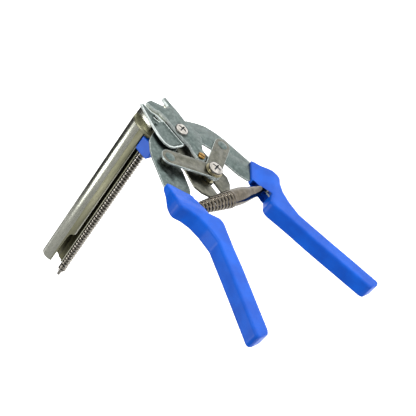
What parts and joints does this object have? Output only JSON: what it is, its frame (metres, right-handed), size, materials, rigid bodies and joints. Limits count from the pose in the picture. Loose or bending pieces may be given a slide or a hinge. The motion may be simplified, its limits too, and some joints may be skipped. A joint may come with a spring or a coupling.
{
  "type": "clip pliers",
  "caption": "Spring-opened clip pliers with a toggle-link driver, a notched nose and a long spring-fed side magazine for wire clips.",
  "frame": {"origin": "seat of the wire notch, on the notch's centre line, between the front plate and the nose block", "axes": "+X towards the nose tip, +Z towards the upper handle, +Y from the screw heads to the magazine"},
  "size_m": [0.1658, 0.1453, 0.1276],
  "materials": {
    "zinc_plate": "satin",
    "zinc_link": "satin",
    "bright_screw": "polished",
    "brass": "satin",
    "nickel_channel": "brushed",
    "spring_steel": "satin",
    "blue_pvc": "satin"
  },
  "bodies": {
    "frame": {"front_plate": "zinc_plate", "side_cheek": "zinc_plate", "nose_block": "nickel_channel", "guide_plate": "zinc_link", "magazine_bracket": "zinc_link", "main_pivot_screw": "bright_screw", "main_pivot_nut": "bright_screw", "guide_bush": "brass", "cheek_rivets": "zinc_plate", "magazine_channel": "nickel_channel", "spring_rod": "nickel_channel", "rod_stop": "bright_screw", "magazine_spring": "spring_steel"},
    "upper_lever": {"upper_handle": "zinc_plate", "upper_grip": "blue_pvc", "upper_spring_seat": "bright_screw", "upper_link_rivet": "zinc_plate", "upper_link_spacer": "zinc_link"},
    "lower_lever": {"lower_handle": "zinc_plate", "lower_grip": "blue_pvc", "lower_spring_seat": "bright_screw", "lower_link_rivet": "zinc_plate"},
    "upper_toggle": {"upper_link": "zinc_link"},
    "lower_toggle": {"lower_link": "zinc_link"},
    "knee": {"knee_screw": "bright_screw", "knee_washers": "zinc_link", "knee_spacer": "bright_screw", "knee_nut": "bright_screw", "driver_blade": "spring_steel"},
    "pusher": {"pusher_slide": "nickel_channel", "pusher_grip": "blue_pvc"},
    "handle_spring": {"return_spring": "spring_steel"}
  },
  "joints": [
    {"name": "upper_handle_hinge", "type": "hinge", "parent": "frame", "child": "upper_lever", "pos_m": [-0.0172, 0, 0.0027], "axis": [0, -1, 0], "range_deg": [0, 16], "stiffness_Nm_per_rad": 1.2, "springref_deg": -6.88, "deforming": ["return_spring"]},
    {"name": "lower_handle_hinge", "type": "hinge", "parent": "frame", "child": "lower_lever", "pos_m": [-0.0172, 0, 0.0027], "axis": [0, 1, 0], "range_deg": [0, 16]},
    {"name": "upper_link_hinge", "type": "hinge", "parent": "upper_lever", "child": "upper_toggle", "pos_m": [-0.0338, 0, 0.0289], "axis": [0, 1, 0], "range_deg": [0, 32]},
    {"name": "lower_link_hinge", "type": "hinge", "parent": "lower_lever", "child": "lower_toggle", "pos_m": [-0.0338, 0, -0.0235], "axis": [0, -1, 0], "range_deg": [0, 32]},
    {"name": "knee_slide", "type": "slide", "parent": "frame", "child": "knee", "axis": [-1, 0, 0], "range_m": [0, 0.0135]},
    {"name": "spring_shift", "type": "slide", "parent": "frame", "child": "handle_spring", "axis": [-1, 0, 0], "range_m": [0, 0.0079]},
    {"name": "pusher_slide", "type": "slide", "parent": "frame", "child": "pusher", "axis": [-0.0593, 0.9982, 0], "range_m": [0, 0.058], "stiffness_N_per_m": 30, "springref_m": -0.12, "deforming": ["magazine_spring"]}
  ],
  "couplings": [
    {"joint": "lower_handle_hinge", "follows": "upper_handle_hinge", "ratio": 1},
    {"joint": "upper_link_hinge", "follows": "upper_handle_hinge", "ratio": 1.9955},
    {"joint": "lower_link_hinge", "follows": "upper_handle_hinge", "ratio": 1.9955},
    {"joint": "knee_slide", "follows": "upper_handle_hinge", "m_per_rad": 0.04797},
    {"joint": "spring_shift", "follows": "upper_handle_hinge", "m_per_rad": 0.02794}
  ]
}
